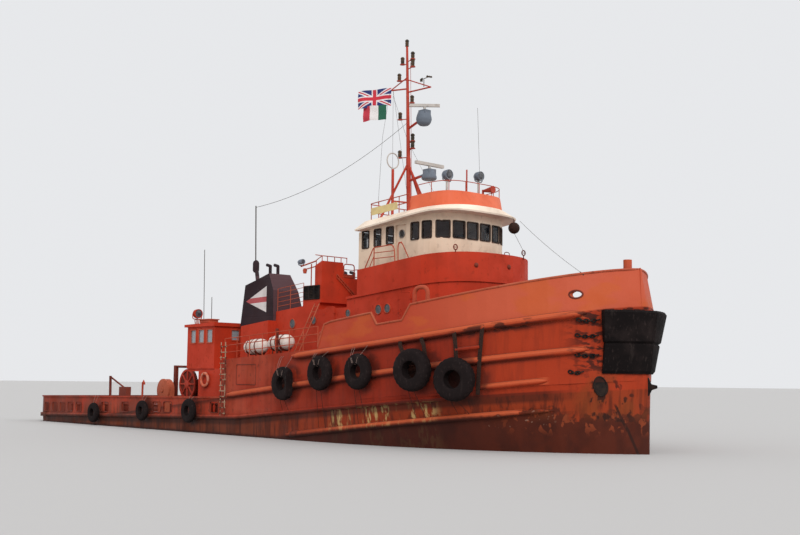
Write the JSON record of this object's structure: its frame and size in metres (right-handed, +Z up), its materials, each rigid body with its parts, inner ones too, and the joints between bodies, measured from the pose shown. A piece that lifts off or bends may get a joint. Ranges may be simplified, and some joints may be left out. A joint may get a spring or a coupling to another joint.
{
  "type": "seagoing tug",
  "caption": "Seagoing tug with a raised forecastle, twin funnels, a rounded wheelhouse and mast, a tow winch on a low working deck, twin screws and rudders, and tyres along its sides.",
  "frame": {"origin": "on the centreline, amidships, at the surface of the water", "axes": "+X towards the bow, +Y to port, +Z up"},
  "size_m": [39.08, 10.758, 21.1015],
  "materials": {
    "hull_paint": "weathered orange-red paint with rust streaks",
    "house_paint": "orange-red paint, lightly faded",
    "cream_paint": "cream gloss paint, lightly stained",
    "funnel_paint": "matt black paint",
    "rubber": "worn black rubber",
    "deck_steel": "dark red oxide over rust",
    "grey_paint": "grey equipment paint",
    "raft_shell": "white moulded shell",
    "white_paint": "white paint, lightly stained",
    "bronze": "dull bronze"
  },
  "bodies": {
    "root": {"hull": "hull_paint", "forecastle": "hull_paint", "bulwark_aft": "hull_paint", "bulwark_forward": "hull_paint", "deckhouse": "house_paint", "cabin_side_starboard": "house_paint", "cabin_side_port": "house_paint", "cabin_front": "house_paint", "cabin_aft": "house_paint", "cabin_roof": "house_paint", "casing": "house_paint", "main_house": "house_paint", "bridge_deck": "house_paint", "deck_trunk": "house_paint", "wheelhouse_roof": "house_paint", "mast": "house_paint", "bow_bitt": "house_paint", "wheelhouse_side_starboard": "cream_paint", "wheelhouse_side_port": "cream_paint", "wheelhouse_front": "cream_paint", "wheelhouse_aft": "cream_paint", "funnel_starboard": "funnel_paint", "funnel_port": "funnel_paint", "bow_fender": "rubber", "tyre_aft_1_starboard": "rubber", "tyre_aft_1_port": "rubber", "tyre_aft_2_starboard": "rubber", "tyre_aft_2_port": "rubber", "tyre_aft_3_starboard": "rubber", "tyre_aft_3_port": "rubber", "tyre_middle_1_starboard": "rubber", "tyre_middle_1_port": "rubber", "tyre_middle_2_starboard": "rubber", "tyre_middle_2_port": "rubber", "tyre_middle_3_starboard": "rubber", "tyre_middle_3_port": "rubber", "tyre_bow_1_starboard": "rubber", "tyre_bow_1_port": "rubber", "tyre_bow_2_starboard": "rubber", "tyre_bow_2_port": "rubber", "winch_frame": "deck_steel", "stern_bitts": "deck_steel", "windlass": "deck_steel", "roof_lamps": "white_paint", "helm_console": "grey_paint", "cabin_console": "grey_paint", "life_rafts_starboard": "raft_shell", "life_rafts_port": "raft_shell"},
    "propeller_starboard": {"propeller_starboard": "bronze"},
    "propeller_port": {"propeller_port": "bronze"},
    "rudder_starboard": {"rudder_starboard": "hull_paint"},
    "rudder_port": {"rudder_port": "hull_paint"},
    "radar_lower": {"radar_scanner_lower": "grey_paint"},
    "radar_upper": {"radar_scanner_upper": "grey_paint"},
    "winch_drum": {"winch_drum": "deck_steel"},
    "wheelhouse_door_starboard": {"wheelhouse_door_starboard": "cream_paint"},
    "wheelhouse_door_port": {"wheelhouse_door_port": "cream_paint"},
    "cabin_door": {"cabin_door": "house_paint"}
  },
  "joints": [
    {"name": "propeller_starboard_spin", "type": "hinge", "parent": "root", "child": "propeller_starboard", "pos_m": [-15, -2.15, -2.76], "axis": [1, 0, 0], "continuous": true},
    {"name": "propeller_port_spin", "type": "hinge", "parent": "root", "child": "propeller_port", "pos_m": [-15, 2.15, -2.76], "axis": [1, 0, 0], "continuous": true},
    {"name": "rudder_starboard_steer", "type": "hinge", "parent": "root", "child": "rudder_starboard", "pos_m": [-16.55, -2.15, -2.6], "axis": [0, 0, 1], "range_deg": [-35, 35]},
    {"name": "rudder_port_steer", "type": "hinge", "parent": "root", "child": "rudder_port", "pos_m": [-16.55, 2.15, -2.6], "axis": [0, 0, 1], "range_deg": [-35, 35]},
    {"name": "radar_lower_scan", "type": "hinge", "parent": "root", "child": "radar_lower", "pos_m": [7.99, 0, 11.54], "axis": [0, 0, 1], "continuous": true},
    {"name": "radar_upper_scan", "type": "hinge", "parent": "root", "child": "radar_upper", "pos_m": [7.66, 0, 14.15], "axis": [0, 0, 1], "continuous": true},
    {"name": "winch_drum_spin", "type": "hinge", "parent": "root", "child": "winch_drum", "pos_m": [-6.51, 0, 2.15], "axis": [0, 1, 0], "continuous": true},
    {"name": "wheelhouse_door_starboard_slide", "type": "slide", "parent": "root", "child": "wheelhouse_door_starboard", "axis": [-1, 0, 0], "range_m": [0, 0.62]},
    {"name": "wheelhouse_door_port_slide", "type": "slide", "parent": "root", "child": "wheelhouse_door_port", "axis": [-1, 0, 0], "range_m": [0, 0.62]},
    {"name": "cabin_door_swing", "type": "hinge", "parent": "root", "child": "cabin_door", "pos_m": [-4.755, 2.205, 3.88], "axis": [0, 0, -1], "range_deg": [0, 100]}
  ],
  "couplings": [
    {"joint": "rudder_port_steer", "follows": "rudder_starboard_steer", "ratio": 1}
  ]
}
